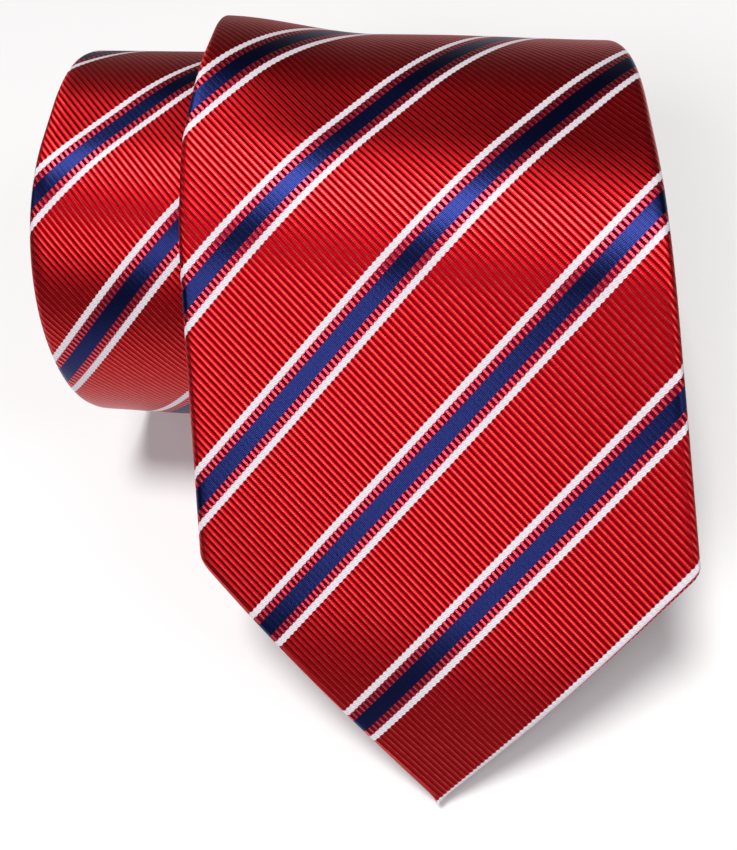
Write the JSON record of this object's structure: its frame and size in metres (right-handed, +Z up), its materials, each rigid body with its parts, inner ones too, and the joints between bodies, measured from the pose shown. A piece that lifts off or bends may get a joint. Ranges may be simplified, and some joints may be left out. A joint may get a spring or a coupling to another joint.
{
  "type": "rolled necktie",
  "caption": "Striped silk necktie rolled up from its narrow end, its wide pointed end sloping down from the top of the roll; the end lifts on a fold line.",
  "frame": {"origin": "centre of the flat base that the roll stands on", "axes": "+X along the roll, towards the right-hand corner of the blade; +Y to the back of the roll, away from the blade's point; +Z up"},
  "size_m": [0.133, 0.1557, 0.0774],
  "materials": {
    "striped_silk": "ribbed silk, red with navy and white diagonal stripes",
    "wool_interlining": "brushed wool",
    "lining": "plain satin lining",
    "label_tape": "woven tape with no lettering",
    "sewing_thread": "twisted silk thread"
  },
  "bodies": {
    "roll": {"blade_silk": "striped_silk", "neck_silk": "striped_silk", "tail_silk": "striped_silk", "keeper_loop": "striped_silk", "interlining": "wool_interlining", "tail_tipping": "lining", "maker_label": "label_tape", "care_label": "label_tape", "tail_bar_tack": "sewing_thread", "slip_stitch": "sewing_thread", "blade_neck_seam": "sewing_thread", "neck_tail_seam": "sewing_thread", "tail_tipping_stitches": "sewing_thread", "keeper_tacks": "sewing_thread", "label_stitches": "sewing_thread"},
    "blade_end": {"blade_end_silk": "striped_silk", "blade_end_interlining": "wool_interlining", "blade_tipping": "lining", "blade_bar_tack": "sewing_thread", "blade_tipping_stitches": "sewing_thread"}
  },
  "joints": [
    {"name": "blade_lift", "type": "hinge", "parent": "roll", "child": "blade_end", "pos_m": [0, -0.0049, 0.0774], "axis": [-1, 0, 0], "range_deg": [0, 120]}
  ]
}
